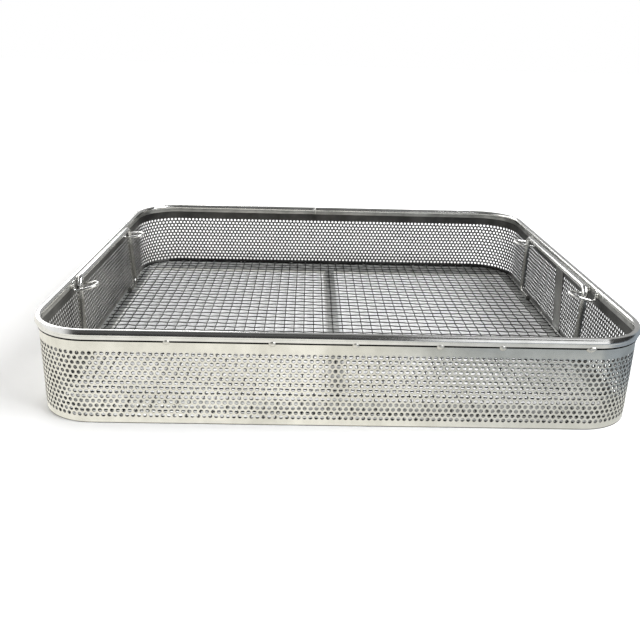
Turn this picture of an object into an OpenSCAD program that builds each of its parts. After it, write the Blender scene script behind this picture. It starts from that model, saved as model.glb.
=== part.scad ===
// Sterilising basket: a perforated sheet wall with a rolled wire rim, a wire mesh floor
// and two drop handles that slide up through eyes inside the short walls.
// X runs left to right, Y front to back, Z up. The origin is under the middle of the foot edge.

/* [Wall] */
// Outside length of the wall
body_length = 521; // [440:1:600]
// Outside width of the wall
body_width = 476; // [400:1:540]
// Height of the wall sheet, up to its edge inside the rim
wall_height = 79.4; // [72:0.2:110]
// Thickness of the wall sheet
wall_t = 0.6; // [0.5:0.1:1.2]
// Outside radius of the upright corners
corner_radius = 50.5; // [42:0.5:70]
// Width of the strip where the sheet's two ends lap, inside the right wall
lap_width = 24; // [16:1:40]
// Place of the lap's middle along the right wall
lap_y = -5; // [-60:1:60]

/* [Perforation] */
// Width of one hole across its corners
hole_d = 12.5; // [8:0.5:14]
// Sides of one hole's outline
hole_sides = 6; // [6, 8]
// Distance between neighbouring holes in a row
hole_pitch = 19.5; // [18:0.5:30]
// Height from one row of holes to the next
row_pitch = 15.6; // [15:0.2:24]
// Plain sheet under the lowest row
foot_margin = 6; // [5.5:0.5:12]
// Plain sheet between the highest row and the rim skirt
head_margin = 9.4; // [6:0.2:16]

/* [Rim] */
// Diameter of the wire inside the rim
rim_wire_d = 3.9; // [3:0.1:5]
// Thickness of the cap strip rolled round the wire
cap_t = 1.2; // [0.8:0.1:1.5]
// Height from the wire's middle down to the edge of the cap's skirts
skirt_drop = 6.4; // [5.5:0.1:12]
// Place of the cap's butt joint along the back wall
rim_joint_x = -19; // [-100:1:100]
// Width of the butt joint
rim_joint_w = 0.4; // [0.3:0.1:1]
// Width of one tack weld on the skirt
tack_w = 6.8; // [5:0.2:9]
// How far a tack weld stands out from the wall
tack_h = 2.2; // [2:0.1:3]

/* [Floor] */
// Width of the flat ring under the mesh's edge
ring_width = 13; // [8:0.5:20]
// Thickness of the ring and the flat strips
strip_t = 1; // [0.8:0.1:2]
// Height of the ring's underside over the foot edge
ring_z = 1.3; // [1:0.1:4]
// Gap between the ring and the wall, bridged by weld beads
ring_gap = 1.5; // [1.3:0.1:3]
// Width of the long strips along the front and the back
edge_strip_w = 25; // [10:1:40]
// Width of the strap across the middle
strap_w = 12.5; // [8:0.5:25]
// Place of the strap's middle along the length
strap_x = 1.9; // [-40:0.1:40]
// Thickness of the mesh wire
mesh_wire_d = 1.2; // [0.8:0.1:1.6]
// Distance between neighbouring wires
mesh_pitch = 11; // [8:0.5:20]
// Distance from the wall's inner face to the ends of the wires
mesh_margin = 4; // [2:0.5:8]
// Sideways shift of the crosswise wires from the middle
mesh_x = 0.9; // [-5:0.1:5]
// Shift of the lengthwise wires from the middle
mesh_y = -1; // [-5:0.1:5]

/* [Eyes] */
// Diameter of the eye's wire
eye_wire_d = 3; // [2.5:0.1:3.5]
// Distance between the middles of an eye's two bars
eye_w = 20; // [17:0.5:26]
// Distance from the wall's inner face to the middle of the eye's round end
eye_reach = 24.5; // [23:0.5:32]
// Height of the eye's middle under the middle of the rim wire
eye_drop = 5.2; // [4.5:0.1:5.2]

/* [Handles] */
// Diameter of the handle's rod
rod_d = 6; // [4:0.5:6.5]
// Distance between the middles of a handle's two legs
handle_span = 205; // [120:1:260]
// Shift of the handles and their eyes towards the back
handle_shift = 4; // [-20:1:20]
// Bending radius at the rod's middle
bend_r = 9; // [7:0.5:9]
// Length of each turned-in foot, from the leg's middle
foot_length = 30; // [18:1:45]
// Height of the foot's middle over the foot edge of the wall
foot_z = 14; // [10:0.5:24]
// Distance from the left wall's inner face to the middle of the rod
left_inset = 6.3; // [6.2:0.1:9]
// Distance from the right wall's inner face to the middle of the rod
right_inset = 9; // [6.2:0.1:12]

/* [Hidden] */
$fn = 96;

steel = [0.76, 0.77, 0.78];
bright_steel = [0.88, 0.88, 0.89];
weld_steel = [0.62, 0.61, 0.58];

// Clearances
cap_fit = 0.05;    // between the rim wire and the cap rolled round it
cap_gap = 0.25;    // between a skirt and the wall sheet
edge_gap = 0.45;   // between the wall's top edge and the rim wire
rest_gap = 0.3;    // between a lowered grip and its eyes
joint_proud = 0.15; // how far the butt joint's weld stands out from the cap
bead_d = 2.4;      // one floor weld bead
tack_lip = 0.98;   // the outermost tacks' share of half the straight run

// Heights and sizes that follow from the driving ones
rim_z = wall_height + edge_gap + rim_wire_d / 2;
skirt_z = rim_z - skirt_drop;
bore_r = rim_wire_d / 2 + cap_fit;
bead_r = bore_r + cap_t;
skirt_face = cap_gap + cap_t;
inner_radius = corner_radius - wall_t;
half_length = body_length / 2 - wall_t;
half_width = body_width / 2 - wall_t;
long_run = body_length - 2 * corner_radius;
short_run = body_width - 2 * corner_radius;
strip_z = ring_z + strip_t;
mesh_low_z = strip_z + mesh_wire_d / 2;
mesh_high_z = mesh_low_z + mesh_wire_d;
eye_z = rim_z - eye_drop;
grip_z = eye_z + eye_wire_d / 2 + rest_gap + rod_d / 2;
row_count = floor((skirt_z - head_margin - foot_margin - hole_d) / row_pitch) + 1;

// Places along half a straight run, from -1 to 1
long_tacks = [-0.68, -0.27, 0.055, 0.385, 0.63, tack_lip];
short_tacks = [-0.8, -0.3, 0.35, 0.8];
bead_marks = [-0.95, -0.6, -0.25, 0.25, 0.6, 0.95];

// ---- Shared shapes ----

// Rectangle with round corners, seen from above
module rounded_rect(length, width, radius) {
    square([length - 2 * radius, width], center = true);
    square([length, width - 2 * radius], center = true);
    for (x = [-1, 1], y = [-1, 1])
        translate([x * (length / 2 - radius), y * (width / 2 - radius)]) circle(radius);
}

// The space inside the wall, less a margin all round, seen from above
module inside_outline(margin) {
    rounded_rect(2 * (half_length - margin), 2 * (half_width - margin), inner_radius - margin);
}

// Puts its children at one straight run of the wall: side 0 right, 1 back, 2 left, 3 front.
// There X points out of the wall from its outside face and Y runs along it.
module at_side(side) {
    reach = side % 2 == 0 ? body_length / 2 : body_width / 2;
    rotate(side * 90) translate([reach, 0, 0]) children();
}

// Sweeps a section round the wall. The section's X points outwards from the wall's
// outside face and its Y is the height.
module sweep_round_wall() {
    for (side = [0 : 3]) {
        run = side % 2 == 0 ? short_run : long_run;
        at_side(side) rotate([90, 0, 0]) linear_extrude(run, center = true) children();
    }
    for (quarter = [0 : 3]) {
        x = quarter == 0 || quarter == 3 ? 1 : -1;
        y = quarter < 2 ? 1 : -1;
        translate([x * long_run / 2, y * short_run / 2, 0]) rotate(quarter * 90)
            rotate_extrude(angle = 90) translate([corner_radius, 0]) children();
    }
}

// Half the length of a mesh wire that lies `offset` from the middle of a rounded outline
function half_span(offset, across, along, radius) =
    abs(offset) <= across - radius ? along
        : along - radius + sqrt(radius * radius - pow(abs(offset) - across + radius, 2));

// Places of the mesh wires, a pitch apart, that lie within `limit` of the middle
function wire_places(shift, limit) =
    [for (i = [-ceil(limit / mesh_pitch) : ceil(limit / mesh_pitch)])
        if (abs(shift + i * mesh_pitch) <= limit) shift + i * mesh_pitch];

// ---- Wall ----

module hole_cutter() {
    rotate([0, 90, 0]) rotate(90) cylinder(d = hole_d, h = 6 * wall_t, center = true, $fn = hole_sides);
}

// One row of holes all the way round, moved along by a share of the pitch. The sheet's
// ends are plain where they lap, at side 0.
module hole_row(z, shift) {
    for (side = [0 : 3]) {
        run = side % 2 == 0 ? short_run : long_run;
        count = round(run / hole_pitch);
        for (i = [0 : count - 1]) {
            along = ((i + shift) / count - 0.5) * run;
            if (side != 0 || abs(along - lap_y) > (lap_width + hole_d) / 2)
                at_side(side) translate([0, along, z]) hole_cutter();
        }
    }
    arc_count = round(PI / 2 * corner_radius / hole_pitch);
    for (quarter = [0 : 3], i = [0 : arc_count - 1]) {
        x = quarter == 0 || quarter == 3 ? 1 : -1;
        y = quarter < 2 ? 1 : -1;
        translate([x * long_run / 2, y * short_run / 2, z])
            rotate((quarter + (i + shift) / arc_count) * 90)
                translate([corner_radius, 0, 0]) hole_cutter();
    }
}

module perforated_wall() {
    color(steel) difference() {
        union() {
            linear_extrude(wall_height) difference() {
                rounded_rect(body_length, body_width, corner_radius);
                inside_outline(0);
            }
            translate([half_length - wall_t, lap_y - lap_width / 2, 0])
                cube([1.5 * wall_t, lap_width, skirt_z - rest_gap]);
        }
        for (row = [0 : row_count - 1])
            hole_row(foot_margin + hole_d / 2 + row * row_pitch, row % 2 == 0 ? 0.5 : 0);
    }
}

// ---- Rim ----

// Section of the rolled cap: a tube round the wire with two skirts that hug the wall
module cap_section(proud = 0) {
    mid = -wall_t / 2;
    slot = wall_t + 2 * cap_gap;
    translate([mid, 0]) difference() {
        union() {
            translate([0, rim_z]) circle(bead_r + proud);
            translate([-slot / 2 - cap_t - proud, skirt_z - proud])
                square([slot + 2 * cap_t + 2 * proud, rim_z - skirt_z]);
        }
        translate([0, rim_z]) circle(bore_r);
        translate([-slot / 2, skirt_z - 1]) square([slot, rim_z - skirt_z + 1]);
    }
}

module joint_slot(width) {
    translate([rim_joint_x - width / 2, body_width / 2 - 10, skirt_z - 5])
        cube([width, 20, 20]);
}

module rim_cap() {
    color(bright_steel) difference() {
        sweep_round_wall() cap_section();
        joint_slot(rim_joint_w);
    }
}

module rim_wire() {
    color(steel) sweep_round_wall() translate([-wall_t / 2, rim_z]) circle(d = rim_wire_d);
}

// Weld that fills the butt joint of the cap
module rim_joint_weld() {
    color(weld_steel) translate([rim_joint_x, body_width / 2, 0]) rotate([90, 0, 90])
        linear_extrude(rim_joint_w, center = true) cap_section(joint_proud);
}

// Flat dome on the wall's face that runs over the skirt's lower edge
module tack() {
    ball_r = (pow(tack_w / 2, 2) + pow(tack_h, 2)) / (2 * tack_h);
    difference() {
        translate([0, 0, skirt_z]) rotate([0, 90, 0]) rotate_extrude() intersection() {
            translate([0, tack_h - ball_r]) circle(ball_r);
            square([tack_w, tack_h]);
        }
        translate([-1, -tack_w, skirt_z]) cube([1 + skirt_face, 2 * tack_w, tack_w]);
    }
}

module rim_tack_welds() {
    color(weld_steel) for (side = [0 : 3]) {
        run = side % 2 == 0 ? short_run : long_run;
        for (mark = side % 2 == 0 ? short_tacks : long_tacks)
            at_side(side) translate([0, mark * run / 2, 0]) tack();
    }
}

// ---- Floor ----

module floor_ring() {
    color(steel) translate([0, 0, ring_z]) linear_extrude(strip_t) difference() {
        inside_outline(ring_gap);
        inside_outline(ring_gap + ring_width);
    }
}

// Long strip against the ring's inner edge: side 1 back, -1 front
module edge_strip(side) {
    inner_edge = half_width - ring_gap - ring_width;
    color(steel) translate([0, 0, ring_z]) linear_extrude(strip_t) intersection() {
        inside_outline(ring_gap + ring_width);
        translate([0, side * (inner_edge - edge_strip_w / 2)])
            square([body_length, edge_strip_w], center = true);
    }
}

module front_edge_strip() { edge_strip(-1); }

module rear_edge_strip() { edge_strip(1); }

// Strap between the two long strips, flush with them
module centre_strap() {
    reach = half_width - ring_gap - ring_width - edge_strip_w;
    color(steel) translate([strap_x - strap_w / 2, -reach, ring_z]) cube([strap_w, 2 * reach, strip_t]);
}

// Short weld beads across the gap between the ring's edge and the wall
module floor_weld_beads() {
    color(weld_steel) for (side = [0 : 3], mark = bead_marks) {
        run = side % 2 == 0 ? short_run : long_run;
        at_side(side) translate([-wall_t, mark * run / 2, ring_z + strip_t / 2])
            rotate([0, -90, 0]) cylinder(d = bead_d, h = ring_gap);
    }
}

// Wires that run front to back, on the ring and the strips
module crosswise_wires() {
    along = half_width - mesh_margin;
    across = half_length - mesh_margin;
    color(steel) for (x = wire_places(mesh_x, across - mesh_wire_d)) {
        half = half_span(x, across, along, inner_radius - mesh_margin);
        translate([x, 0, mesh_low_z]) rotate([90, 0, 0])
            cylinder(d = mesh_wire_d / cos(30), h = 2 * half, center = true, $fn = 6);
    }
}

// Wires that run left to right, on the crosswise ones
module lengthwise_wires() {
    along = half_length - mesh_margin;
    across = half_width - mesh_margin;
    color(steel) for (y = wire_places(mesh_y, across - mesh_wire_d)) {
        half = half_span(y, across, along, inner_radius - mesh_margin);
        translate([0, y, mesh_high_z]) rotate([0, 90, 0]) rotate(30)
            cylinder(d = mesh_wire_d / cos(30), h = 2 * half, center = true, $fn = 6);
    }
}

// ---- Eyes ----

// Distance from an eye's round end's middle to the skirt that its bars meet
function bar_length() = eye_reach - eye_w / 2 - skirt_face;

// Puts its children at one eye: X points out to the wall from the middle of the round end
module at_eye(x_side, y_side) {
    translate([x_side * (half_length - eye_reach + eye_w / 2),
        handle_shift + y_side * handle_span / 2, eye_z])
        rotate(x_side > 0 ? 0 : 180) children();
}

// Wire staple: two bars that meet the rim's inner skirt, joined by a half turn
module eye(x_side, y_side) {
    color(bright_steel) at_eye(x_side, y_side) {
        rotate(90) rotate_extrude(angle = 180) translate([eye_w / 2, 0]) circle(d = eye_wire_d);
        for (bar = [-1, 1])
            translate([0, bar * eye_w / 2, 0]) rotate([0, 90, 0])
                cylinder(d = eye_wire_d, h = bar_length());
    }
}

module left_front_eye() { eye(-1, -1); }

module left_rear_eye() { eye(-1, 1); }

module right_front_eye() { eye(1, -1); }

module right_rear_eye() { eye(1, 1); }

// Fillet welds round the ends of the bars, kept under the rolled bead
module eye_welds(x_side) {
    weld = 1;
    color(weld_steel) for (y_side = [-1, 1], bar = [-1, 1])
        at_eye(x_side, y_side) translate([bar_length(), bar * eye_w / 2, 0]) rotate([0, -90, 0])
            rotate_extrude() translate([eye_wire_d / 2, 0])
                polygon([[0, 0], [weld, 0], [0, 1.5 * weld]]);
}

module left_eye_welds() { eye_welds(-1); }

module right_eye_welds() { eye_welds(1); }

// ---- Handles ----

// Quarter bend in the YZ plane that starts at the top of a leg and turns towards -Y
module quarter_bend() {
    translate([0, -bend_r, 0]) rotate([90, 0, 90]) rotate_extrude(angle = 90)
        translate([bend_r, 0]) circle(d = rod_d);
}

// Rod from one height to another
module upright(from_z, to_z) {
    translate([0, 0, from_z]) cylinder(d = rod_d, h = to_z - from_z);
}

// Half of a handle: a leg, its turned-in foot and half of the grip
module half_handle() {
    translate([0, handle_span / 2, 0]) {
        upright(foot_z + bend_r, grip_z - bend_r);
        translate([0, 0, grip_z - bend_r]) quarter_bend();
        translate([0, 0, foot_z + bend_r]) mirror([0, 0, 1]) quarter_bend();
        translate([0, -bend_r, foot_z]) rotate([90, 0, 0])
            cylinder(d = rod_d, h = foot_length - bend_r);
        translate([0, -bend_r, grip_z]) rotate([90, 0, 0])
            cylinder(d = rod_d, h = handle_span / 2 - bend_r);
    }
}

module handle(x) {
    color(bright_steel) translate([x, handle_shift, 0]) {
        half_handle();
        mirror([0, 1, 0]) half_handle();
    }
}

module left_handle() { handle(-(half_length - left_inset)); }

module right_handle() { handle(half_length - right_inset); }

// ---- Assembly ----

perforated_wall();
rim_cap();
rim_wire();
rim_joint_weld();
rim_tack_welds();
floor_ring();
front_edge_strip();
rear_edge_strip();
centre_strap();
floor_weld_beads();
crosswise_wires();
lengthwise_wires();
left_front_eye();
left_rear_eye();
right_front_eye();
right_rear_eye();
left_eye_welds();
right_eye_welds();
left_handle();
right_handle();
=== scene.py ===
"""Dresses the sterilising basket: perforated wall, rolled rim, woven floor, eyes and handles.

Everything is worked out in millimetres and written to the meshes in metres, in the frame of
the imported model: X left to right, Y front to back, Z up, origin under the middle of the foot.
"""

import logging
import math
from dataclasses import dataclass, field, replace
from enum import Enum

import bmesh
import bpy
from bmesh.types import BMEdge, BMesh, BMVert
from bpy.types import ID, Material, Mesh, Node, NodeSocket, NodeTree, Object
from mathutils import Matrix, Vector, noise


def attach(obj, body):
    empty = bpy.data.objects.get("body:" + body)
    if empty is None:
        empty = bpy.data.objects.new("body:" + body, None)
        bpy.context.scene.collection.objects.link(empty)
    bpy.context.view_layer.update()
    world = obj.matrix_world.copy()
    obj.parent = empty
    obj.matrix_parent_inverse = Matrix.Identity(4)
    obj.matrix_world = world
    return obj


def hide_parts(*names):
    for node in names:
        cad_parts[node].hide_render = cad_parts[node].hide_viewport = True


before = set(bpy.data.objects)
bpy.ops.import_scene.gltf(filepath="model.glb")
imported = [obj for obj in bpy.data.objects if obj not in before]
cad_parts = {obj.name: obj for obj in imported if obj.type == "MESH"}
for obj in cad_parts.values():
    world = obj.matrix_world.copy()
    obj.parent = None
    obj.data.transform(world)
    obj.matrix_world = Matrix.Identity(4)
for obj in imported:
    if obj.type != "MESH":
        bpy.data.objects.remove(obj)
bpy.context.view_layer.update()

MM = 0.001
log = logging.getLogger("basket")


# ---- Shared helpers ----


def linear(code: str) -> tuple[float, float, float, float]:
    """Turns an sRGB hex colour, such as "c8c9ca", to linear red, green, blue and alpha."""
    parts = [int(code[i:i + 2], 16) / 255 for i in (0, 2, 4)]
    return (*(p / 12.92 if p <= 0.04045 else ((p + 0.055) / 1.055) ** 2.4 for p in parts), 1.0)


def put(name: str, data: ID) -> Object:
    """Makes an object from its data and adds it to the scene."""
    made = bpy.data.objects.new(name, data)
    bpy.context.scene.collection.objects.link(made)
    return made


def add_node(tree: NodeTree, kind: str, inputs: dict | None = None, **settings: object) -> Node:
    """Adds one node with its settings and links.

    Args:
        tree: The node tree of a material or of the world.
        kind: The node's type name.
        inputs: What each input gets, by its name or number: a value, or a socket to link.
        settings: The node's own properties.

    Returns:
        The new node.
    """
    node = tree.nodes.new(kind)
    for name, value in settings.items():
        setattr(node, name, value)
    for key, value in (inputs or {}).items():
        if isinstance(value, NodeSocket):
            tree.links.new(value, node.inputs[key])
        else:
            node.inputs[key].default_value = value
    return node


def ramp(tree: NodeTree, value: NodeSocket, start: float, stop: float,
         first: float = 0.0, last: float = 1.0, kind: str = "SMOOTHSTEP") -> NodeSocket:
    """Adds a ramp from one level to another.

    Args:
        tree: The node tree.
        value: The socket that drives the ramp.
        start: The value at which the ramp starts.
        stop: The value at which it stops.
        first: The level up to the start.
        last: The level past the stop.
        kind: The form of the ramp.

    Returns:
        The socket that gives the level.
    """
    return add_node(tree, "ShaderNodeMapRange", {
        "Value": value, "From Min": start, "From Max": stop, "To Min": first, "To Max": last},
        interpolation_type=kind).outputs["Result"]


def wobble(place: Vector, size: float, seed: float) -> float:
    """Gives a smooth random value from about -1 to 1 whose lumps have a size in millimetres."""
    return noise.noise(place / size + Vector((seed, -seed, 0.37 * seed)))


def make_piece(name: str, source: BMesh, sharp_deg: float = 40.0,
               modifiers: tuple = ()) -> Object:
    """Makes an object from a mesh in millimetres, with its modifiers applied.

    Args:
        name: The piece's name.
        source: The mesh, which is freed.
        sharp_deg: Edges that turn by more than this stay sharp.
        modifiers: Pairs of a modifier's type and its settings, in order.

    Returns:
        The object, at the origin, in metres.
    """
    bmesh.ops.scale(source, vec=Vector((MM, MM, MM)), verts=source.verts)
    mesh = bpy.data.meshes.new(name)
    source.to_mesh(mesh)
    source.free()
    piece = put(name, mesh)
    for kind, settings in modifiers:
        modifier = piece.modifiers.new(kind.title(), kind)
        for key, value in settings.items():
            setattr(modifier, key, value)
    if modifiers:
        graph = bpy.context.evaluated_depsgraph_get()
        done = bpy.data.meshes.new_from_object(piece.evaluated_get(graph))
        piece.modifiers.clear()
        piece.data = done
        bpy.data.meshes.remove(mesh)
        done.name = name
    piece.data.shade_smooth()
    piece.data.set_sharp_from_angle(angle=math.radians(sharp_deg))
    return piece


def wire_piece(name: str, paths: list[list[Vector]], diameter: float, ring: int,
               sharp_deg: float = 40.0) -> Object:
    """Makes round wires with closed ends as one piece.

    Args:
        name: The piece's name.
        paths: The points that each wire's middle follows, in millimetres.
        diameter: The wire's diameter in millimetres.
        ring: The curve's bevel resolution: 1 gives 6 sides, 2 gives 8, 4 gives 12.
        sharp_deg: Edges that turn by more than this stay sharp.

    Returns:
        The object, at the origin, in metres.
    """
    curve = bpy.data.curves.new(name, "CURVE")
    curve.dimensions = "3D"
    curve.twist_mode = "MINIMUM"
    curve.bevel_depth = diameter / 2
    curve.bevel_resolution = ring
    curve.use_fill_caps = True
    for path in paths:
        spline = curve.splines.new("POLY")
        spline.points.add(len(path) - 1)
        for point, place in zip(spline.points, path):
            point.co = (*place, 1.0)
    holder = put(name + "_curve", curve)
    graph = bpy.context.evaluated_depsgraph_get()
    mesh = bpy.data.meshes.new_from_object(holder.evaluated_get(graph))
    for layer in list(mesh.uv_layers):
        mesh.uv_layers.remove(layer)
    made = bmesh.new()
    made.from_mesh(mesh)
    bpy.data.objects.remove(holder)
    bpy.data.curves.remove(curve)
    bpy.data.meshes.remove(mesh)
    bmesh.ops.remove_doubles(made, verts=made.verts, dist=0.001)
    bmesh.ops.recalc_face_normals(made, faces=made.faces)
    return make_piece(name, made, sharp_deg)


def rounded_path(corners: list[Vector], radius: float, steps: int) -> list[Vector]:
    """Turns a bent line into one with round bends.

    Args:
        corners: The line's ends and corners, in millimetres.
        radius: The bending radius.
        steps: How many pieces each bend has.

    Returns:
        The points of the line with its bends.
    """
    path = [corners[0]]
    for before, corner, after in zip(corners, corners[1:], corners[2:]):
        back = (before - corner).normalized()
        ahead = (after - corner).normalized()
        half = back.angle(ahead) / 2
        middle = corner + (back + ahead).normalized() * (radius / math.sin(half))
        start = corner + back * (radius / math.tan(half))
        axis = (start - middle).cross(-back)
        turn = math.pi - 2 * half
        for i in range(steps + 1):
            spin = Matrix.Rotation(turn * i / steps, 3, axis)
            path.append(middle + spin @ (start - middle))
    path.append(corners[-1])
    return path


def add_lump(target: BMesh, middle: Vector, size: Vector, seed: float,
             detail: int = 2, rough: float = 0.16) -> None:
    """Adds one uneven weld lump.

    Args:
        target: The mesh that gets the lump.
        middle: Its middle, in millimetres.
        size: Its half sizes along the axes.
        seed: Sets its unevenness.
        detail: How often the ball it starts from is subdivided.
        rough: How uneven it is, as a share of its size.
    """
    made = bmesh.ops.create_icosphere(target, subdivisions=detail, radius=1.0)["verts"]
    for vert in made:
        swell = 1 + rough * noise.noise(vert.co * 1.3 + Vector((seed, seed * 0.7, -seed)))
        vert.co = middle + Vector(vert.co * size) * swell


# ---- Finishes ----


class Grain(Enum):
    """How the fine marks on a surface run."""

    SPECKLE = (1.0, 1.0, 1.0)
    ALONG_X = (0.04, 1.0, 1.0)
    ALONG_Y = (1.0, 0.04, 1.0)
    LEVEL = (0.06, 0.06, 1.0)


@dataclass(frozen=True)
class SteelFinish:
    """A stainless steel surface: its tones, its gloss and the marks that its making leaves."""

    name: str
    light: str
    dark: str
    blotch_mm: float
    roughness: float
    ripple_mm: float
    grain_mm: float
    roughness_spread: float = 0.06
    grain: Grain = Grain.LEVEL
    grain_height_mm: float = 0.008
    ripple_height_mm: float = 0.1
    painted_shade_to_mm: float = 0.0
    painted_shade_fade_mm: float = 2.5
    painted_shade: str = "ffffff"

    def make(self) -> Material:
        """Builds the material.

        Returns:
            The material, on the piece's own coordinates in metres.
        """
        material = bpy.data.materials.new(self.name)
        material.use_nodes = True
        tree = material.node_tree
        tree.nodes.clear()
        place = add_node(tree, "ShaderNodeTexCoord").outputs["Object"]
        blotch = add_node(tree, "ShaderNodeTexNoise", {
            "Vector": place, "Scale": 1 / (self.blotch_mm * MM), "Detail": 3.0,
            "Roughness": 0.55})
        tone = add_node(tree, "ShaderNodeValToRGB", {"Fac": blotch.outputs["Fac"]})
        tone.color_ramp.elements[0].position = 0.32
        tone.color_ramp.elements[0].color = linear(self.dark)
        tone.color_ramp.elements[1].position = 0.68
        tone.color_ramp.elements[1].color = linear(self.light)
        colour = tone.outputs["Color"]
        # Painted shade: below a set height the tone is multiplied darker, standing in for the shade
        # that falls there.
        if self.painted_shade_to_mm:
            parts = add_node(tree, "ShaderNodeSeparateXYZ", {"Vector": place})
            low = ramp(tree, parts.outputs["Z"], (self.painted_shade_to_mm - self.painted_shade_fade_mm) * MM,
                       (self.painted_shade_to_mm + self.painted_shade_fade_mm) * MM, 1.0, 0.0, "LINEAR")
            shaded = add_node(tree, "ShaderNodeMix", {0: low, 6: colour, 7: linear(self.painted_shade)},
                              data_type="RGBA", blend_type="MULTIPLY")
            colour = shaded.outputs[2]
        turned = add_node(tree, "ShaderNodeMapping", {
            "Vector": place, "Scale": self.grain.value})
        grain = add_node(tree, "ShaderNodeTexNoise", {
            "Vector": turned.outputs["Vector"], "Scale": 1 / (self.grain_mm * MM),
            "Detail": 2.0, "Roughness": 0.6})
        gloss = ramp(tree, grain.outputs["Fac"], 0.3, 0.7, self.roughness - self.roughness_spread,
                     self.roughness + self.roughness_spread, "LINEAR")
        ripple = add_node(tree, "ShaderNodeTexNoise", {
            "Vector": place, "Scale": 1 / (self.ripple_mm * MM), "Detail": 1.0})
        slow = add_node(tree, "ShaderNodeBump", {
            "Height": ripple.outputs["Fac"], "Distance": self.ripple_height_mm * MM})
        fine = add_node(tree, "ShaderNodeBump", {
            "Height": grain.outputs["Fac"], "Distance": self.grain_height_mm * MM,
            "Normal": slow.outputs["Normal"]})
        shader = add_node(tree, "ShaderNodeBsdfPrincipled", {
            "Base Color": colour, "Metallic": 1.0,
            "Roughness": gloss, "Normal": fine.outputs["Normal"]})
        add_node(tree, "ShaderNodeOutputMaterial", {"Surface": shader.outputs["BSDF"]})
        return material


# Cold rolled stainless sheet, electropolished outside: near white, a little warm, softly cloudy.
# The darker lowest 0.7 mm is a painted contact shadow along the foot edge.
SHEET = SteelFinish(
    name="Stainless sheet, punched and electropolished", light="f1f0e9", dark="dad9d1",
    blotch_mm=28.0, roughness=0.22, roughness_spread=0.05, grain_mm=1.6, ripple_mm=60.0,
    ripple_height_mm=0.4, painted_shade_to_mm=0.7, painted_shade_fade_mm=0.3, painted_shade="505050")
# The same sheet inside: rougher, grey with painted shade, and darkest at the floor, where a painted
# shadow stands in for the gap by the ring.
SHADED_SHEET_INSIDE = SteelFinish(
    name="Stainless sheet inside, painted shade", light="666665", dark="4a4a49",
    blotch_mm=30.0, roughness=0.34, grain_mm=1.6, ripple_mm=60.0, ripple_height_mm=0.3,
    painted_shade_to_mm=3.4, painted_shade_fade_mm=1.5, painted_shade="484848")
# The inner end of the sheet at the lap: a lighter grey of painted shade, with the same painted
# shadow at the floor.
SHADED_LAP_INSIDE = replace(SHADED_SHEET_INSIDE, name="Stainless sheet inside at the lap, painted shade",
                     light="9e9e9c", dark="80807e")
# Rolled strip with a buffed bead: the glossiest part, whose long highlights waver a little.
RIM = SteelFinish(
    name="Stainless strip, rolled and buffed", light="ececea", dark="dadad7",
    blotch_mm=18.0, roughness=0.15, roughness_spread=0.03, grain_mm=1.2,
    grain_height_mm=0.004, ripple_mm=22.0, ripple_height_mm=0.08)
# The inner skirt: not buffed, so rougher, and a darker grey that is painted shade, like the inside
# of the sheet.
SHADED_RIM_INSIDE = SteelFinish(
    name="Stainless strip, unbuffed, painted shade", light="bebebc", dark="9a9a98",
    blotch_mm=18.0, roughness=0.34, grain_mm=1.4, ripple_mm=30.0)
# Painted shade under the outer skirt: a thin dark band that stands in for the shadow gap and stays
# dark from each side.
CREVICE_SHADE = SteelFinish(
    name="Stainless steel, painted shade under the skirt", light="242423", dark="161616",
    blotch_mm=12.0, roughness=0.6, roughness_spread=0.05, grain=Grain.SPECKLE, grain_mm=1.0,
    grain_height_mm=0.02, ripple_mm=12.0, ripple_height_mm=0.02)
# Bright drawn rod: smooth and glossy, with faint marks of the die. Darker below the eyes: painted
# shade on the legs inside the basket.
ROD = SteelFinish(
    name="Stainless rod, bright drawn, painted shade on the legs", light="eeeeec", dark="dadad8",
    blotch_mm=16.0, roughness=0.22, roughness_spread=0.04, grain=Grain.ALONG_Y, grain_mm=0.9,
    grain_height_mm=0.004, ripple_mm=14.0, ripple_height_mm=0.04, painted_shade_to_mm=66.0,
    painted_shade_fade_mm=6.0, painted_shade="a4a4a2")
# Drawn and crimped mesh wire: its dark grey tone is painted shade, much darker than the rest of the
# steel.
SHADED_WIRE = SteelFinish(
    name="Stainless wire, drawn and crimped, painted shade", light="4a4b49", dark="343533",
    blotch_mm=9.0, roughness=0.3, grain=Grain.SPECKLE, grain_mm=0.8,
    grain_height_mm=0.004, ripple_mm=9.0, ripple_height_mm=0.02)
# Mill finish flat strip: matt, so it takes its grey from the dim room above the basket.
STRIP = SteelFinish(
    name="Stainless strip, mill finish", light="e6e7e5", dark="c6c7c5",
    blotch_mm=14.0, roughness=0.55, roughness_spread=0.07, grain=Grain.ALONG_X, grain_mm=1.5,
    grain_height_mm=0.01, ripple_mm=40.0)
# Tungsten arc weld, electropolished with the part: pale uneven lumps, rougher than the sheet.
WELD = SteelFinish(
    name="Stainless weld, electropolished", light="e9e8e2", dark="cfcdc6",
    blotch_mm=3.0, roughness=0.34, roughness_spread=0.08, grain=Grain.SPECKLE, grain_mm=1.0,
    grain_height_mm=0.05, ripple_mm=3.0)


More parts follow.
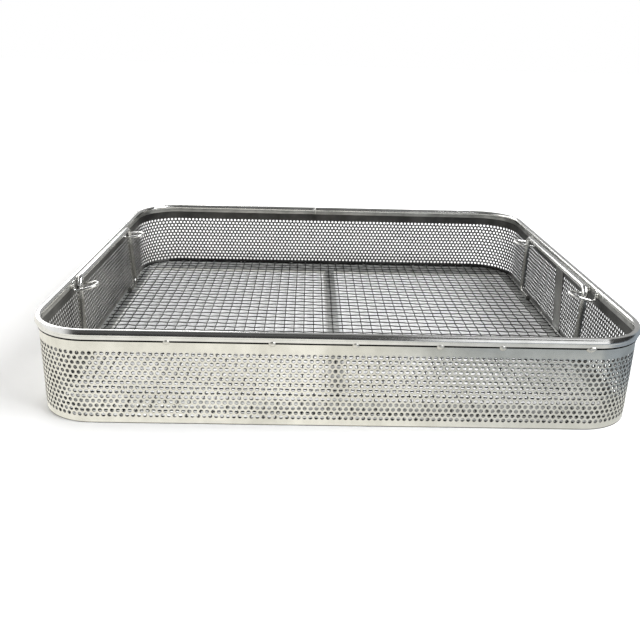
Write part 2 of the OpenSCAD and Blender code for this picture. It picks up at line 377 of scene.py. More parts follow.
class Finishes:
    """The basket's materials, each made once and named by its slot in the record."""

    def __init__(self) -> None:
        """Makes every finish."""
        self.by_slot = {
            "perforated_sheet": SHEET.make(), "polished_rim": RIM.make(),
            "bright_rod": ROD.make(), "mesh_wire": SHADED_WIRE.make(),
            "floor_strip": STRIP.make(), "weld": WELD.make()}
        # The linings are darker copies that paint the shade inside the basket and under the skirt.
        self.linings = {"sheet_inside": SHADED_SHEET_INSIDE.make(), "lap_inside": SHADED_LAP_INSIDE.make(),
                        "rim_inside": SHADED_RIM_INSIDE.make(), "crevice": CREVICE_SHADE.make()}

    def line(self, piece: Object, lining: str) -> None:
        """Adds a second finish to a piece, for its faces with material index 1."""
        piece.data.materials.append(self.linings[lining])

    def dress(self, piece: Object, slot: str) -> None:
        """Gives a piece the finish of a slot.

        Args:
            piece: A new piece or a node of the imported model.
            slot: The slot's name in the record.
        """
        material = self.by_slot[slot]
        if piece.material_slots:
            for holder in piece.material_slots:
                holder.material = material
        else:
            piece.data.materials.append(material)

    def place(self, piece: Object, slot: str, body: str, *nodes: str) -> None:
        """Dresses a new piece and ties it to its body and to the nodes it stands for.

        Args:
            piece: The piece.
            slot: The slot's name in the record.
            body: The body it moves with.
            nodes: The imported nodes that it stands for.
        """
        self.dress(piece, slot)
        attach(piece, body)
        if nodes:
            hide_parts(*nodes)
        top = max((piece.matrix_world @ Vector(c)).z for c in piece.bound_box) / MM
        log.info("%s: %d faces, top at %.1f mm", piece.name, len(piece.data.polygons), top)


# ---- Wall ----


@dataclass(frozen=True)
class WallLoop:
    """The rounded rectangle that the middle of the wall sheet follows.

    A place on it is measured in millimetres from the front end of the right straight run,
    anticlockwise seen from above. Sides: 0 right, 1 back, 2 left, 3 front.
    """

    length: float = 520.4
    width: float = 475.4
    radius: float = 50.2

    def run(self, side: int) -> float:
        """Length of one straight run."""
        return (self.width if side % 2 == 0 else self.length) - 2 * self.radius

    @property
    def arc(self) -> float:
        """Length of one corner."""
        return self.radius * math.pi / 2

    @property
    def around(self) -> float:
        """Length of the whole loop."""
        return 2 * (self.run(0) + self.run(1)) + 4 * self.arc

    def start(self, side: int) -> float:
        """Where a side's straight run starts along the loop."""
        return sum(self.run(k) + self.arc for k in range(side))

    def at(self, side: int, mark: float) -> float:
        """Place of a mark on a straight run, from -1 at its start to 1 at its end."""
        return self.start(side) + self.run(side) * (1 + mark) / 2

    def point(self, along: float, out: float, height: float) -> Vector:
        """Finds a point from its place on the loop.

        Args:
            along: Distance along the loop.
            out: Distance outwards from the middle of the sheet.
            height: Height over the foot edge.

        Returns:
            The point in millimetres.
        """
        left = along % self.around
        side = 0
        while left > self.run(side) + self.arc:
            left -= self.run(side) + self.arc
            side += 1
        turn = max(0.0, left - self.run(side)) / self.radius
        reach = (self.length if side % 2 == 0 else self.width) / 2 - self.radius
        slide = min(left, self.run(side)) - self.run(side) / 2
        grown = self.radius + out
        spot = Vector((reach + grown * math.cos(turn), slide + grown * math.sin(turn), height))
        return Matrix.Rotation(side * math.pi / 2, 3, "Z") @ spot

    def bend(self, flat: BMesh) -> None:
        """Bends a flat mesh, whose X is the place on the loop, Y the height and Z the way out."""
        for vert in flat.verts:
            vert.co = self.point(vert.co.x, vert.co.z, vert.co.y)

    def band(self, profile: tuple, step: float) -> BMesh:
        """Sweeps a closed profile once round the loop.

        Args:
            profile: Height and distance outwards of each corner.
            step: Length of one piece of the sweep.

        Returns:
            The band.
        """
        made = bmesh.new()
        ring = [made.verts.new((0.0, height, out)) for height, out in profile]
        for a, b in zip(ring, ring[1:] + ring[:1]):
            made.edges.new((a, b))
        count = round(self.around / step)
        bmesh.ops.spin(made, geom=made.edges[:], cent=(0, 0, 0), axis=(1, 0, 0), angle=0,
                       steps=count, dvec=Vector((self.around / count, 0, 0)))
        self.bend(made)
        bmesh.ops.remove_doubles(made, verts=made.verts, dist=0.001)
        bmesh.ops.recalc_face_normals(made, faces=made.faces)
        return made


@dataclass
class PerforatedWall:
    """One band of punched sheet, bent round four corners, its ends lapped at the right.

    The outermost columns of holes reach `overrun` pitches into the seam, where the lap lies.
    """

    loop: WallLoop
    top: float = 78.9
    thickness: float = 0.5
    hole_r: float = 1.62
    lip_r: float = 2.25
    crest_r: float = 1.74
    lip_rise: float = 0.12
    rows: int = 14
    lowest_row: float = 7.71
    row_pitch: float = 4.33
    columns: int = 381
    pieces: tuple = ("rear_right", "rear_left", "front_left", "front_right")
    buckle: float = 0.16
    foot_unevenness: float = 0.25
    seam_width: float = 25.0
    overrun: float = 1.25
    slit: float = 0.15
    lap_middle: float = 182.5
    lap_width: float = 24.0
    lap_top: float = 75.0
    lap_lift: float = 0.2
    lap_slant: float = 0.2

    @property
    def pitch(self) -> float:
        """Distance between neighbouring holes in a row."""
        return (self.loop.around - self.seam_width) / (self.columns - 1 - 2 * self.overrun)

    def column(self) -> Mesh:
        """Makes one upright column of cells, each a hexagon of sheet round a punched hole.

        Returns:
            The column's flat mesh, both faces, with the lip that the punch leaves outside.
        """
        made = bmesh.new()
        face = self.thickness / 2
        wide = self.pitch / 2 / math.cos(math.pi / 6)
        cell = (wide, self.row_pitch / 1.5, math.cos(math.pi / 6))
        rings = ((*cell, face), (self.lip_r, self.lip_r, 1, face),
                 (self.crest_r, self.crest_r, 1, face + self.lip_rise),
                 (self.hole_r, self.hole_r, 1, -face), (*cell, -face))
        for row in range(self.rows):
            shift = self.pitch / 4 * (1 if row % 2 else -1)
            middle = Vector((shift, self.lowest_row + row * self.row_pitch, 0))
            verts = bmesh.ops.create_circle(made, segments=12, radius=1.0)["verts"]
            edges = list({edge for vert in verts for edge in vert.link_edges})
            everything = list(verts)
            for number, (across, high, between, out) in enumerate(rings):
                if number:
                    grown = bmesh.ops.extrude_edge_only(made, edges=edges)["geom"]
                    verts = [g for g in grown if isinstance(g, BMVert)]
                    edges = [g for g in grown if isinstance(g, BMEdge)
                             and all(v in verts for v in g.verts)]
                    everything += verts
                for vert in verts:
                    step = round(math.atan2(vert.co.x, vert.co.y) * 6 / math.pi)
                    share = between if step % 2 else 1.0
                    angle = step * math.pi / 6
                    vert.co = Vector((share * across * math.sin(angle),
                                      share * high * math.cos(angle), out))
            bmesh.ops.translate(made, verts=everything, vec=middle)
        mesh = bpy.data.meshes.new("hole_column")
        made.to_mesh(mesh)
        made.free()
        return mesh

    def stretch(self, made: BMesh, edges: list[BMEdge], axis: int, value: float) -> None:
        """Draws plain sheet out from edges up to a straight line.

        Args:
            made: The flat mesh.
            edges: The edges to draw out.
            axis: 0 to move along the loop, 1 to move in height, 2 to move through the sheet.
            value: Where the new edge lies on that axis.
        """
        grown = bmesh.ops.extrude_edge_only(made, edges=edges)["geom"]
        for vert in (g for g in grown if isinstance(g, BMVert)):
            vert.co[axis] = value

    def sheet(self, first: int, count: int, plain_from: float | None,
              plain_to: float | None) -> BMesh:
        """Makes a stretch of the punched band.

        Args:
            first: Number of its first column.
            count: How many columns it has.
            plain_from: Where a plain end starts before the first column, if it has one.
            plain_to: Where a plain end stops after the last column, if it has one.

        Returns:
            The band as a closed solid, bent round the loop. Its inner face has material 1.
        """
        column = self.column()
        made = bmesh.new()
        start = self.lap_middle + self.seam_width / 2 - self.overrun * self.pitch
        for i in range(count):
            before = len(made.verts)
            made.from_mesh(column)
            made.verts.ensure_lookup_table()
            bmesh.ops.translate(made, verts=made.verts[before:],
                                vec=Vector((start + (first + i) * self.pitch, 0, 0)))
        bpy.data.meshes.remove(column)
        bmesh.ops.remove_doubles(made, verts=made.verts, dist=0.02)
        low = self.lowest_row - self.row_pitch * 0.3
        high = self.lowest_row + (self.rows - 1) * self.row_pitch + self.row_pitch * 0.3
        middle = start + (first + (count - 1) / 2) * self.pitch

        def border() -> list[tuple[BMEdge, Vector]]:
            """The sheet's open edges, each with its middle."""
            return [(e, (e.verts[0].co + e.verts[1].co) / 2) for e in made.edges if e.is_boundary]

        sides = [(e, m) for e, m in border() if low < m.y < high]
        if plain_from is not None:
            self.stretch(made, [e for e, m in sides if m.x < middle], 0, plain_from)
        if plain_to is not None:
            self.stretch(made, [e for e, m in sides if m.x > middle], 0, plain_to)
        self.stretch(made, [e for e, m in border() if m.y < low], 1, 0.0)
        self.stretch(made, [e for e, m in border() if m.y > high], 1, self.top)
        face = self.thickness / 2
        self.stretch(made, [e for e, m in border() if m.z > 0], 2, -face)
        bmesh.ops.remove_doubles(made, verts=made.verts, dist=0.004)
        bmesh.ops.recalc_face_normals(made, faces=made.faces)
        for part in made.faces:
            part.material_index = int(any(v.co.z < 0.01 - face for v in part.verts))
        for vert in made.verts:
            spot = Vector((vert.co.x, vert.co.y, 0))
            vert.co.z += self.buckle * wobble(spot, 70.0, 3.1)
            if vert.co.y < 1e-4:
                vert.co.y = self.foot_unevenness * abs(wobble(spot, 60.0, 8.4))
        self.loop.bend(made)
        return made

    def lap(self) -> BMesh:
        """Makes the plain end of the sheet that lies inside the right wall, cut a little askew.

        Returns:
            The plate, with its edges broken.
        """
        made = bmesh.new()
        bmesh.ops.create_cube(made, size=1.0)
        size = Vector((self.lap_width, self.lap_top, self.thickness))
        bmesh.ops.scale(made, vec=size, verts=made.verts)
        bmesh.ops.bevel(made, geom=made.edges[:], offset=0.18, segments=2, profile=0.5,
                        affect="EDGES", material=-1)
        bmesh.ops.translate(made, verts=made.verts, vec=Vector(
            (self.lap_middle, self.lap_top / 2 + self.lap_lift, -self.thickness - self.buckle)))
        for vert in made.verts:
            vert.co.x += self.lap_slant * (vert.co.y - 10)
        self.loop.bend(made)
        return made

    def build(self, finishes: Finishes) -> None:
        """Makes the wall's pieces.

        Args:
            finishes: The basket's materials.
        """
        stops = [round(self.columns * i / len(self.pieces)) for i in range(len(self.pieces) + 1)]
        ends = (self.lap_middle + self.slit, self.lap_middle - self.slit + self.loop.around)
        for name, first, last in zip(self.pieces, stops, stops[1:]):
            made = self.sheet(first, last - first, ends[0] if first == 0 else None,
                              ends[1] if last == self.columns else None)
            piece = make_piece("wall_" + name, made, 28.0)
            finishes.place(piece, "perforated_sheet", "basket", "perforated_wall")
            finishes.line(piece, "sheet_inside")
        piece = make_piece("wall_lap", self.lap())
        finishes.place(piece, "perforated_sheet", "basket", "perforated_wall")
        piece.material_slots[0].material = finishes.linings["lap_inside"]


# ---- Rim ----


@dataclass
class RolledRim:
    """Strip rolled round a wire over the wall's top edge, with a skirt on each side.

    The bead's front is pressed to a face that leans back more and more, over a low chin.
    """

    loop: WallLoop
    bead_z: float = 81.8
    bead_r: float = 3.15
    strip_t: float = 1.2
    skirt_z: float = 75.4
    outer_skirt_z: float = 76.3
    unbuffed_shaded_below: float = 78.9
    face_bottom: float = -1.6
    face_height: float = 3.6
    face_in: float = 0.05
    face_slant: float = 0.22
    face_swell: float = 0.035
    chin_height: float = 0.5
    chin_in: float = 0.3
    # Profile of the dark band of painted shade under the outer skirt, as height and distance out.
    crevice: tuple = ((74.4, 0.2), (76.7, 0.2), (76.7, 1.4), (74.7, 1.2))
    skirt_out: float = 1.15
    joint_x: float = -19.0
    joint_gap: float = 0.4
    step: float = 7.0
    tack_z: float = 75.1
    tack_out: float = 1.15
    long_tacks: tuple = (-0.68, -0.27, 0.055, 0.385, 0.63, 0.98)
    short_tacks: tuple = (-0.8, -0.3, 0.35, 0.8)

    @property
    def joint(self) -> float:
        """Place of the butt joint along the loop."""
        return self.loop.at(1, -self.joint_x / (self.loop.run(1) / 2))

    def cap(self) -> BMesh:
        """Makes the middle surface of the rolled strip, with the bead pressed flat in front.

        Returns:
            The surface, bent round the loop, open at its butt joint.
        """
        made = bmesh.new()
        begin = self.joint + self.joint_gap / 2
        length = self.loop.around - self.joint_gap
        middle_r = self.bead_r - self.strip_t / 2
        neck = self.bead_z - math.sqrt(middle_r ** 2 - self.skirt_out ** 2)
        turn = 2 * math.pi - 2 * math.asin(self.skirt_out / middle_r)
        foot = made.verts.new((begin, self.outer_skirt_z, self.skirt_out))
        joint = made.verts.new((begin, neck, self.skirt_out))
        made.edges.new((foot, joint))
        arc = bmesh.ops.spin(made, geom=[joint], cent=(begin, self.bead_z, 0),
                             axis=(1, 0, 0), angle=-turn, steps=22)["geom_last"]
        last = next(g for g in arc if isinstance(g, BMVert))
        end = made.verts.new((begin, self.skirt_z, -self.skirt_out))
        made.edges.new((last, end))
        count = round(length / self.step)
        bmesh.ops.spin(made, geom=made.edges[:], cent=(0, 0, 0), axis=(1, 0, 0), angle=0,
                       steps=count, dvec=Vector((length / count, 0, 0)))
        bmesh.ops.remove_doubles(made, verts=made.verts, dist=0.001)
        for vert in made.verts:
            up = vert.co.y - self.bead_z - self.face_bottom
            if vert.co.z > 0 and 0 < up < self.face_height:
                back = self.face_in + (self.face_slant + self.face_swell * up) * up
                vert.co.z = middle_r - back
            elif vert.co.z > 0 and -self.chin_height < up <= 0:
                vert.co.z = middle_r - self.chin_in
            # The strip wavers: in and out, up and down, and at its lower edge.
            drift = Vector((vert.co.x, 0, 0))
            vert.co.z += 0.05 * wobble(drift, 34.0, 5.5)
            vert.co.y -= 0.06 + 0.06 * wobble(drift, 41.0, 1.7)
            if vert.co.y < self.outer_skirt_z + 0.3:
                vert.co.y += 0.15 * wobble(drift, 23.0, 9.2)
        bmesh.ops.recalc_face_normals(made, faces=made.faces)
        self.loop.bend(made)
        return made

    def is_inside(self, x: float, y: float) -> bool:
        """Tells whether a point in millimetres lies inside the middle of the wall sheet."""
        past = (max(0.0, abs(place) - size / 2 + self.loop.radius)
                for place, size in ((x, self.loop.length), (y, self.loop.width)))
        return math.hypot(*past) < self.loop.radius

    def tacks(self) -> BMesh:
        """Makes the tack welds that hold the outer skirt to the wall.

        Returns:
            The lumps, half sunk into skirt and wall.
        """
        made = bmesh.new()
        for side in range(4):
            marks = self.short_tacks if side % 2 == 0 else self.long_tacks
            for mark in marks:
                seed = 7.3 * side + 11.1 * mark
                outermost = mark == self.long_tacks[-1]
                wide = 4.1 if outermost else 3.2 + 0.25 * math.sin(seed * 3)
                spot = self.loop.at(side, mark)
                first = len(made.verts)
                middle = Vector((spot, self.tack_z, self.tack_out))
                add_lump(made, middle, Vector((wide, 2.5, 1.3)), seed)
                made.verts.ensure_lookup_table()
                bmesh.ops.rotate(made, cent=middle, verts=made.verts[first:],
                                 matrix=Matrix.Rotation(0.25 * math.sin(seed), 3, "Z"))
        self.loop.bend(made)
        return made

    def joint_weld(self) -> BMesh:
        """Makes the ground-down weld in the butt joint.

        Returns:
            A narrow uneven band round the bead and down the skirts.
        """
        made = bmesh.new()
        turn = 1.75 * math.pi
        steps = 26
        reach = self.bead_r - 0.6
        for i in range(steps + 1):
            angle = -turn / 2 + turn * i / steps
            spot = Vector((self.joint + 0.25 * math.sin(9.1 * i),
                           self.bead_z + reach * math.cos(angle), reach * math.sin(angle)))
            add_lump(made, spot, Vector((0.85, 0.55, 0.55)), i * 1.9, 1, 0.3)
        for side in (-1, 1):
            for i in range(4):
                spot = Vector((self.joint + 0.2 * math.sin(5 * i), self.skirt_z + 0.6 + 0.95 * i,
                               side * (self.skirt_out + 0.25)))
                add_lump(made, spot, Vector((0.8, 0.7, 0.5)), i * 2.3 + side, 1, 0.3)
        self.loop.bend(made)
        return made

    def build(self, finishes: Finishes) -> None:
        """Makes the rim's pieces.

        Args:
            finishes: The basket's materials.
        """
        rolled = (
            ("SOLIDIFY", {"thickness": self.strip_t * MM, "offset": 0.0,
                          "use_even_offset": True}),
            ("BEVEL", {"width": 0.3 * MM, "segments": 2, "limit_method": "ANGLE",
                       "angle_limit": math.radians(60)}))
        cap = make_piece("rim_strip", self.cap(), 50.0, rolled)
        finishes.place(cap, "polished_rim", "basket", "rim_cap")
        finishes.line(cap, "rim_inside")
        # Inner faces below the bead get the unbuffed finish and its painted shade.
        for part in cap.data.polygons:
            spot = part.center
            inner = self.is_inside(spot.x / MM, spot.y / MM)
            part.material_index = int(inner and spot.z < self.unbuffed_shaded_below * MM)
        # A dark band under the outer skirt: painted shade for the shadow gap.
        crevice = make_piece("rim_crevice_shade", self.loop.band(self.crevice, self.step))
        finishes.place(crevice, "polished_rim", "basket", "rim_cap")
        crevice.material_slots[0].material = finishes.linings["crevice"]
        tacks = make_piece("rim_tacks", self.tacks(), 60.0)
        finishes.place(tacks, "weld", "basket", "rim_tack_welds")
        weld = make_piece("rim_butt_weld", self.joint_weld(), 60.0)
        finishes.place(weld, "weld", "basket", "rim_joint_weld")


# ---- Floor ----


@dataclass
class WovenFloor:
    """Plain woven wire mesh on a flat ring, two long strips and a strap."""

    loop: WallLoop
    wire_d: float = 1.2
    pitch: float = 11.0
    middle_z: float = 3.5
    rings_per_pitch: int = 4
    half_length: float = 255.9
    half_width: float = 233.4
    corner_r: float = 45.9
    lengthwise_wave: float = 0.28
    crosswise_wave: float = 0.72
    drift: float = 0.28
    end_gap: float = 0.8
    shift_x: float = 0.9
    shift_y: float = -1.0
    ring_z: float = 1.8
    ring_out: float = -1.1
    marks: tuple = (-0.95, -0.6, -0.25, 0.25, 0.6, 0.95)

    def half_span(self, offset: float, across: float, along: float) -> float:
        """Half the length of a wire inside the rounded outline of half size across by along."""
        past = max(0.0, abs(offset) - across + self.corner_r)
        return along - self.corner_r + math.sqrt(self.corner_r ** 2 - past ** 2)

    def places(self, shift: float, limit: float) -> list[tuple[int, float]]:
        """The numbers and offsets of the wires within a limit, where number 0 is at the shift."""
        most = math.ceil(limit / self.pitch)
        return [(i, shift + i * self.pitch) for i in range(-most, most + 1)
                if abs(shift + i * self.pitch) <= limit]

    def wires(self, crosswise: bool) -> list[list[Vector]]:
        """The paths of the wires in one direction, woven over and under the others.

        Args:
            crosswise: True for the wires from front to back.

        Returns:
            One path per wire.
        """
        across, along, wave, seed = self.half_length, self.half_width, self.crosswise_wave, 2.0
        shift, other = self.shift_x, self.shift_y
        if not crosswise:
            across, along, wave, seed = along, across, -self.lengthwise_wave, 6.0
            shift, other = other, shift
        paths = []
        step = self.pitch / self.rings_per_pitch
        for i, offset in self.places(shift, across - self.wire_d):
            half = self.half_span(offset, across, along)
            first = math.ceil((-half - other) / step)
            stops = [other + k * step for k in range(first, first + math.ceil(2 * half / step) + 1)]
            stops = [-half] + [s for s in stops if abs(s) < half - self.end_gap] + [half]
            path = []
            for s in stops:
                lift = wave * math.cos(math.pi * (s - other) / self.pitch) * (-1 if i % 2 else 1)
                beside = offset + self.drift * wobble(Vector((offset, s, 0)), 38.0, seed)
                spot = (beside, s) if crosswise else (s, beside)
                path.append(Vector((*spot, self.middle_z + lift)))
            paths.append(path)
        return paths

    def beads(self) -> BMesh:
        """Makes the weld beads between the ring and the wall.

        Returns:
            The beads.
        """
        made = bmesh.new()
        for side in range(4):
            for mark in self.marks:
                seed = 5.7 * side + 3.9 * mark
                add_lump(made, Vector((self.loop.at(side, mark), self.ring_z, self.ring_out)),
                         Vector((1.9, 0.9, 1.2)), seed, 2, 0.25)
        self.loop.bend(made)
        return made

    def build(self, finishes: Finishes) -> None:
        """Makes the woven wires and the beads, and dresses the ring, strips and strap.

        Args:
            finishes: The basket's materials.
        """
        for name, node, crosswise in (("mesh_crosswise", "crosswise_wires", True),
                                      ("mesh_lengthwise", "lengthwise_wires", False)):
            piece = wire_piece(name, self.wires(crosswise), self.wire_d, 1, 50.0)
            finishes.place(piece, "mesh_wire", "basket", node)
        piece = make_piece("floor_beads", self.beads(), 60.0)
        finishes.place(piece, "weld", "basket", "floor_weld_beads")
        for node in ("floor_ring", "front_edge_strip", "rear_edge_strip", "centre_strap"):
            finishes.dress(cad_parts[node], "floor_strip")
        finishes.dress(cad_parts["rim_wire"], "mesh_wire")


# ---- Eyes ----


@dataclass
class Eye:
    """A wire staple inside a short wall: its ends are turned up and welded under the bead."""

    name: str
    side: int
    y: float
    tip_x: float
    wall_z: float
    tip_z: float
    wire_d: float = 3.0
    width: float = 20.0
    splay: float = 1.2
    wall_x: float = 256.9
    end_z: float = 79.6
    bend_r: float = 3.0
    weld_z: float = 77.4

    def path(self) -> list[Vector]:
        """The middle of the wire, from one end under the bead to the other.

        Returns:
            The path's points.
        """
        half = self.width / 2
        round_x = self.tip_x + half
        slope = (self.tip_z - self.wall_z) / (self.wall_x - self.tip_x)
        level = self.wall_z + slope * (self.wall_x - round_x)
        bar = rounded_path([Vector((self.wall_x + 0.3, -half - self.splay, self.end_z)),
                            Vector((self.wall_x, -half - self.splay, self.wall_z)),
                            Vector((round_x, -half, level))], self.bend_r, 6)
        points = bar[:-1]
        for i in range(17):
            angle = math.pi * i / 16
            rise = level + slope * half * math.sin(angle)
            points.append(Vector((round_x - half * math.sin(angle), -half * math.cos(angle), rise)))
        points += [Vector((p.x, -p.y, p.z)) for p in reversed(bar[:-1])]
        return [Vector((self.side * p.x, p.y + self.y, p.z)) for p in points]

    def build(self, finishes: Finishes) -> None:
        """Makes the staple."""
        piece = wire_piece(self.name + "_staple", [self.path()], self.wire_d, 5)
        finishes.place(piece, "bright_rod", "basket", self.name)

    def add_welds(self, made: BMesh) -> None:
        """Adds the fillet welds round both bars' ends.

        Args:
            made: The mesh that gets them.
        """
        for bar in (-1, 1):
            seed = 3.3 * self.side + 2.1 * bar + 0.013 * self.y
            middle = Vector((self.side * (self.wall_x + 1.2),
                             self.y + bar * (self.width / 2 + self.splay), self.weld_z))
            add_lump(made, middle, Vector((1.2, 2.6, 1.9)), seed, 3, 0.3)


# ---- Handles ----


@dataclass
class DropHandle:
    """A bent rod: a grip, two legs down through the eyes and two feet turned in."""

    name: str
    grip_x: float
    front_x: float
    rear_x: float
    lift: float
    middle_y: float = 4.0
    rod_d: float = 6.0
    span: float = 205.0
    bend_r: float = 9.0
    foot: float = 30.0
    foot_z: float = 10.5
    grip_z: float = 81.4

    def path(self) -> list[Vector]:
        """The middle of the rod, from one foot's end to the other.

        Returns:
            The path's points.
        """
        half = self.span / 2
        corners = [(-half + self.foot, self.foot_z), (-half, self.foot_z), (-half, self.grip_z),
                   (half, self.grip_z), (half, self.foot_z), (half - self.foot, self.foot_z)]
        path = rounded_path([Vector((0, y, z)) for y, z in corners], self.bend_r, 10)
        for point in path:
            share = (self.grip_z - point.z) / (self.grip_z - self.foot_z)
            toward = self.front_x if point.y < 0 else self.rear_x
            point.x = self.grip_x + (toward - self.grip_x) * share
            point.z += self.lift * (1 - share)
            point.y += self.middle_y
        return path

    def build(self, finishes: Finishes) -> None:
        """Makes the rod."""
        piece = wire_piece(self.name + "_rod", [self.path()], self.rod_d, 7)
        finishes.place(piece, "bright_rod", self.name, self.name)


# ---- Studio ----


@dataclass
class Panel:
    """A soft light: a glowing rectangle that faces the basket."""

    name: str
    place: tuple[float, float, float]
    size: tuple[float, float]
    watts: float
    colour: str
    aim: tuple[float, float, float] = (0.0, 0.0, 0.05)

    def build(self) -> None:
        """Adds the light."""
        data = bpy.data.lights.new(self.name, "AREA")
        data.shape = "RECTANGLE"
        data.size, data.size_y = self.size
        data.energy = self.watts
        data.color = linear(self.colour)[:3]
        lamp = put(self.name, data)
        lamp.location = self.place
        way = Vector(self.aim) - Vector(self.place)
        lamp.rotation_euler = way.to_track_quat("-Z", "Y").to_euler()


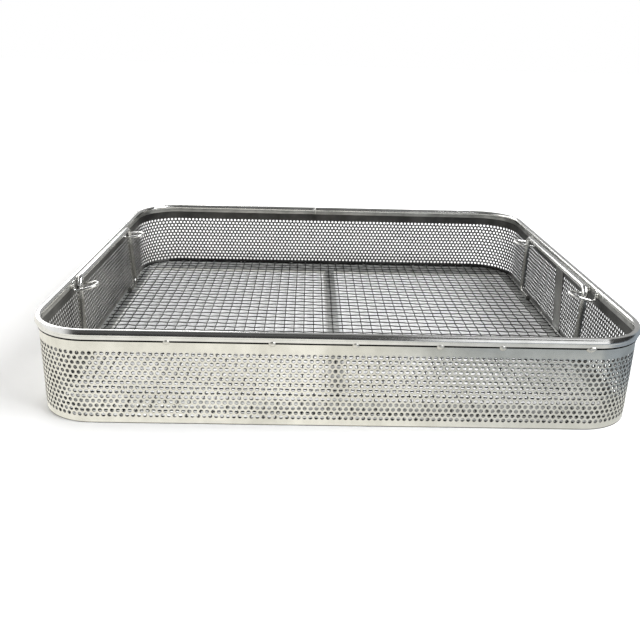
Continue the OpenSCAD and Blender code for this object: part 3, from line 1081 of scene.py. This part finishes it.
@dataclass
class Studio:
    """Plain white floor, soft light and the camera.

    The metal mirrors the room: white paper at the left, grey paper behind and at the right,
    and a dim room in front and overhead. A low card in front gives the bead its highlight.
    """

    panels: list[Panel] = field(default_factory=lambda: [
        Panel("right_softbox", (1.4, -0.6, 1.45), (1.5, 1.3), 53.0, "fdfeff"),
        Panel("front_card", (1.15, -2.28, 0.46), (1.5, 0.8), 4.2, "fdfeff"),
        Panel("rear_softbox", (-1.1, 1.87, 1.25), (1.7, 1.0), 25.0, "ffffff"),
        Panel("left_softbox", (-2.3, 0.1, 1.2), (1.6, 1.2), 14.0, "fffaf0")])
    floor_half_mm: float = 9000.0

    def build(self) -> None:
        """Builds the whole studio."""
        self.floor()
        self.surroundings()
        for panel in self.panels:
            panel.build()
        self.camera()
        bpy.context.scene.view_settings.view_transform = "Standard"

    def floor(self) -> None:
        """Adds the floor: matt white paper that fades into a bright backdrop far away.

        For glossy rays the paper is a painted reflection instead: it glows warm white at the left
        and grey at the front right, where it stands in for a grey table.
        """
        made = bmesh.new()
        bmesh.ops.create_grid(made, x_segments=4, y_segments=4, size=self.floor_half_mm)
        floor = make_piece("studio_floor", made)
        material = bpy.data.materials.new("Paper, matt white")
        material.use_nodes = True
        tree = material.node_tree
        tree.nodes.clear()
        place = add_node(tree, "ShaderNodeTexCoord").outputs["Object"]
        cloud = add_node(tree, "ShaderNodeTexNoise", {"Vector": place, "Scale": 3.0})
        tone = add_node(tree, "ShaderNodeValToRGB", {"Fac": cloud.outputs["Fac"]})
        tone.color_ramp.elements[0].color = linear("f7f7f7")
        tone.color_ramp.elements[1].color = linear("fafafa")
        # Painted light: the paper glows more with distance from the basket, washing out the
        # basket's cast shadow and fading into a bright backdrop.
        away = add_node(tree, "ShaderNodeVectorMath", {0: place}, operation="LENGTH")
        glow = ramp(tree, away.outputs["Value"], 0.34, 1.1, 0.0, 0.9)
        paper = add_node(tree, "ShaderNodeBsdfPrincipled", {
            "Base Color": tone.outputs["Color"], "Roughness": 0.9,
            "Specular IOR Level": 0.1, "Emission Color": linear("ffffff"),
            "Emission Strength": glow})
        # Painted reflection: the glowing colour that the metal mirrors in place of the paper.
        parts = add_node(tree, "ShaderNodeSeparateXYZ", {"Vector": place})
        front = ramp(tree, parts.outputs["Y"], -0.28, -0.46, 0.35)
        beside = ramp(tree, parts.outputs["X"], 0.26, 0.34)
        right = ramp(tree, parts.outputs["X"], 0.0, 0.17)
        far = add_node(tree, "ShaderNodeMath", {0: front, 1: beside}, operation="MAXIMUM")
        shade = add_node(tree, "ShaderNodeMath", {0: right, 1: far.outputs["Value"]},
                         operation="MULTIPLY")
        mirrored = add_node(tree, "ShaderNodeMix", {
            0: shade.outputs["Value"], 6: linear("fffdf6"), 7: linear("98a0a8")},
            data_type="RGBA")
        painted_reflection = add_node(tree, "ShaderNodeEmission", {"Color": mirrored.outputs[2]})
        ray = add_node(tree, "ShaderNodeLightPath")
        both = add_node(tree, "ShaderNodeMixShader", {
            0: ray.outputs["Is Glossy Ray"], 1: paper.outputs["BSDF"],
            2: painted_reflection.outputs["Emission"]})
        add_node(tree, "ShaderNodeOutputMaterial", {"Surface": both.outputs["Shader"]})
        floor.data.materials.append(material)

    def surroundings(self) -> None:
        """Sets the room round the set: white for the camera, shaded for the metal."""
        world = bpy.data.worlds.new("Studio room")
        bpy.context.scene.world = world
        world.use_nodes = True
        tree = world.node_tree
        tree.nodes.clear()
        way = add_node(tree, "ShaderNodeTexCoord").outputs["Generated"]
        parts = add_node(tree, "ShaderNodeSeparateXYZ", {"Vector": way})
        paper = ramp(tree, parts.outputs["X"], -0.55, -0.15, 1.0, 0.42)
        dim = ramp(tree, parts.outputs["Z"], 0.14, 0.6, 0.03, 0.17)
        front = ramp(tree, parts.outputs["Y"], 0.25, 0.62, 1.0, 0.0)
        right = ramp(tree, parts.outputs["X"], -0.85, -0.5)
        dark = add_node(tree, "ShaderNodeMath", {0: front, 1: right}, operation="MULTIPLY")
        level = add_node(tree, "ShaderNodeMix", {0: dark.outputs["Value"], 2: paper, 3: dim})
        ray = add_node(tree, "ShaderNodeLightPath")
        seen = add_node(tree, "ShaderNodeMath", {
            0: ray.outputs["Is Camera Ray"], 1: level.outputs[0]}, operation="MAXIMUM")
        room = add_node(tree, "ShaderNodeBackground", {
            "Color": linear("ffffff"), "Strength": seen.outputs["Value"]})
        add_node(tree, "ShaderNodeOutputWorld", {"Surface": room.outputs["Background"]})

    def camera(self) -> None:
        """Adds the camera, a little above the rim and in front of the basket."""
        data = bpy.data.cameras.new("camera")
        data.sensor_width = 36.0
        data.lens = 40.965
        data.shift_x = -0.00472
        data.shift_y = -0.02697
        camera = put("camera", data)
        right = Vector((0.999564, -0.015243, 0.025306))
        down = Vector((0.018669, -0.33795, -0.940979))
        ahead = Vector((0.022896, 0.941041, -0.337518))
        turn = Matrix((right, -down, -ahead)).transposed().to_4x4()
        camera.matrix_world = Matrix.Translation((-0.029588, -0.786096, 0.307974)) @ turn
        bpy.context.scene.camera = camera


def main() -> None:
    """Builds the basket from the wall inwards, then the studio."""
    logging.basicConfig(level=logging.INFO, format="%(name)s: %(message)s")
    finishes = Finishes()
    loop = WallLoop()
    PerforatedWall(loop).build(finishes)
    RolledRim(loop).build(finishes)
    WovenFloor(loop).build(finishes)
    eyes = {
        "left": [Eye("left_front_eye", -1, -98.5, tip_x=236.2, wall_z=72.2, tip_z=76.8),
                 Eye("left_rear_eye", -1, 106.5, tip_x=235.6, wall_z=72.6, tip_z=74.8)],
        "right": [Eye("right_front_eye", 1, -98.5, tip_x=234.3, wall_z=71.3, tip_z=77.0),
                  Eye("right_rear_eye", 1, 106.5, tip_x=233.5, wall_z=71.7, tip_z=75.2)]}
    for side, pair in eyes.items():
        welds = bmesh.new()
        for eye in pair:
            eye.build(finishes)
            eye.add_welds(welds)
        piece = make_piece(side + "_fillets", welds, 60.0)
        finishes.place(piece, "weld", "basket", side + "_eye_welds")
    for handle in (
            DropHandle("left_handle", grip_x=-253.95, front_x=-254.0, rear_x=-249.6, lift=0.6),
            DropHandle("right_handle", grip_x=250.3, front_x=247.8, rear_x=249.9, lift=0.2)):
        handle.build(finishes)
    Studio().build()
    log.info("studio: floor, %d lights and camera", len(bpy.data.lights))


if __name__ == "__main__":
    main()
